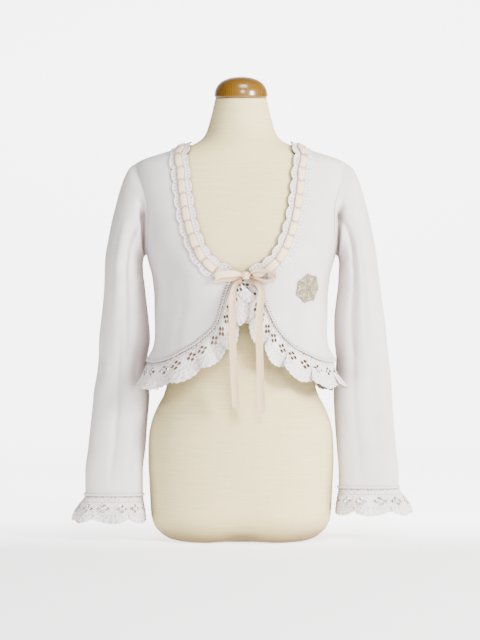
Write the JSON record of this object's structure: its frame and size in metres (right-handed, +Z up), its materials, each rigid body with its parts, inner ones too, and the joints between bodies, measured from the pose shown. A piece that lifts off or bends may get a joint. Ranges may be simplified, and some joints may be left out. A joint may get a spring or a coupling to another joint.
{
  "type": "knitted shrug on dress form",
  "caption": "Long-sleeved knitted shrug with crochet lace edges, threaded neck ribbon and front bow, worn on a limbless dress form with a turned neck cap.",
  "frame": {"origin": "centre of the dress form's flat base, on the surface it stands on", "axes": "+Z up along the form, front towards -Y, the wearer's left towards +X"},
  "size_m": [0.5813, 0.2761, 0.8004],
  "materials": {
    "knit": "fine off-white jersey",
    "lace": "cotton crochet lace",
    "satin": "soft cream satin ribbon",
    "linen": "slubbed cream linen cover",
    "wood": "gloss varnish",
    "gold": "metallic gold embroidery thread"
  },
  "bodies": {
    "root": {"dress_form": "linen", "neck_cap": "wood", "front_left": "knit", "front_right": "knit", "back": "knit", "sleeve_left_front_upper": "knit", "sleeve_left_front_lower": "knit", "sleeve_left_back_upper": "knit", "sleeve_left_back_lower": "knit", "sleeve_right_front_upper": "knit", "sleeve_right_front_lower": "knit", "sleeve_right_back_upper": "knit", "sleeve_right_back_lower": "knit", "hem_lace_left": "lace", "hem_lace_right": "lace", "hem_lace_back": "lace", "cuff_lace_left_front_inner": "lace", "cuff_lace_left_front_outer": "lace", "cuff_lace_left_back": "lace", "cuff_lace_right_front_inner": "lace", "cuff_lace_right_front_outer": "lace", "cuff_lace_right_back": "lace", "neck_lace": "lace", "neck_ribbon": "satin", "bow_knot": "satin", "bow_loop_left": "satin", "bow_loop_right": "satin", "bow_tail_left": "satin", "bow_tail_right": "satin", "chest_embroidery": "gold"}
  },
  "joints": []
}
